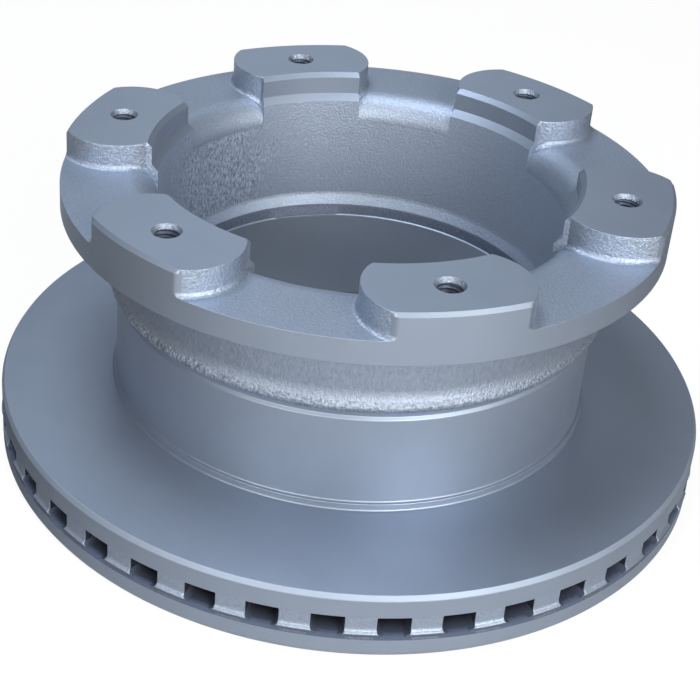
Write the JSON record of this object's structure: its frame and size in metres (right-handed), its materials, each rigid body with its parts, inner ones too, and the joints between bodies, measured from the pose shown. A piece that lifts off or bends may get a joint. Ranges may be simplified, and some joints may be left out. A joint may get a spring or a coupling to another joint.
{
  "type": "ventilated brake disc",
  "caption": "Ventilated brake disc cast in one piece: slotted friction ring, tall neck with a rounded bead, and a bolting flange with raised threaded pads.",
  "frame": {"origin": "centre of the disc at its inboard friction face", "axes": "+Z along the disc's axis, outboard to the face of the bolting pads; +X through the axis of the first threaded hole"},
  "size_m": [0.3219, 0.322, 0.1385],
  "materials": {
    "iron": "satin blue-grey protective coating, smooth on turned faces and finely rough on cast ones"
  },
  "bodies": {
    "root": {"brake_disc": "iron"}
  },
  "joints": []
}
